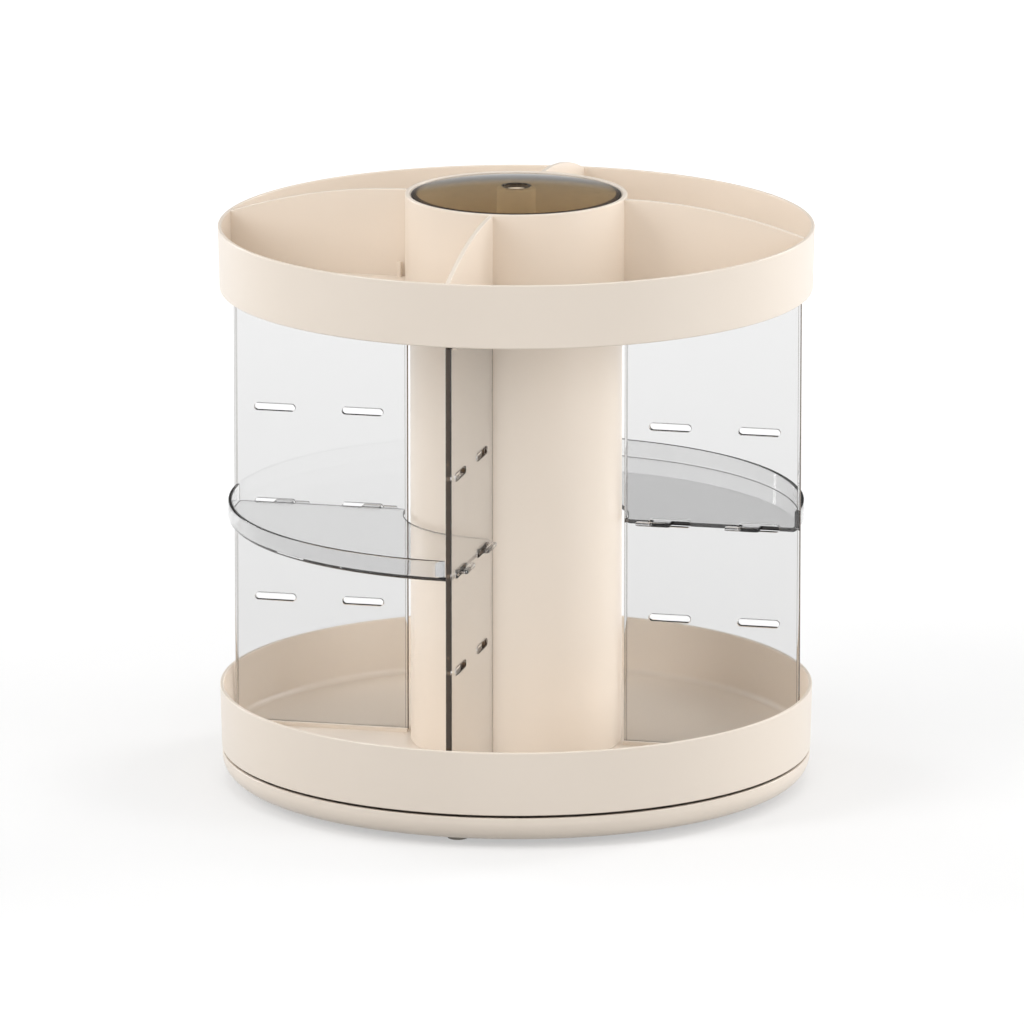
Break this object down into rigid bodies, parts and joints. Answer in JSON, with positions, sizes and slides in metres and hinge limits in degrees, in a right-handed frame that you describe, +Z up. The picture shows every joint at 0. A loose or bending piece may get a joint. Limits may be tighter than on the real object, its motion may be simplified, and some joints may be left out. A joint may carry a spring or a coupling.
{
  "type": "rotating cosmetics organiser",
  "caption": "Countertop organiser that turns: round open trays above and below, a central column with a lidded cup, clear slotted upright panels and hooked clear shelves between them.",
  "frame": {"origin": "centre of the footprint at floor level, on the axis of rotation", "axes": "+Z up along the axis of rotation; one clear panel stands on each of +X (right), +Y (back), -X (left) and -Y (front)"},
  "size_m": [0.26, 0.26, 0.2649],
  "materials": {
    "cream_plastic": "satin moulded",
    "clear_plastic": "clear polished",
    "smoke_plastic": "smoke-clear polished",
    "white_plastic": "as moulded",
    "foot_rubber": "matt translucent",
    "steel": "zinc plated",
    "ball_steel": "polished"
  },
  "bodies": {
    "base": {"base_shell": "cream_plastic", "rubber_feet": "foot_rubber", "pivot_washer": "steel", "pivot_screw": "steel"},
    "cage": {"ball_cage": "white_plastic", "bearing_balls": "ball_steel"},
    "carousel": {"bottom_tray": "cream_plastic", "pivot_bush": "white_plastic", "column_tube": "cream_plastic", "column_screws": "steel", "cup_floor": "cream_plastic", "panel_right": "clear_plastic", "panel_back": "clear_plastic", "panel_left": "clear_plastic", "panel_front": "clear_plastic", "shelf_front_left": "clear_plastic", "shelf_back_right": "clear_plastic", "top_tray": "cream_plastic"},
    "lid": {"lid": "smoke_plastic"}
  },
  "joints": [
    {"name": "carousel_turn", "type": "hinge", "parent": "base", "child": "carousel", "pos_m": [0, 0, 0.012], "axis": [0, 0, 1], "continuous": true},
    {"name": "cage_turn", "type": "hinge", "parent": "base", "child": "cage", "pos_m": [0, 0, 0.01], "axis": [0, 0, 1], "continuous": true},
    {"name": "lid_lift", "type": "slide", "parent": "carousel", "child": "lid", "axis": [0, 0, 1], "range_m": [0, 0.06]}
  ],
  "couplings": [
    {"joint": "cage_turn", "follows": "carousel_turn", "ratio": 0.5}
  ]
}
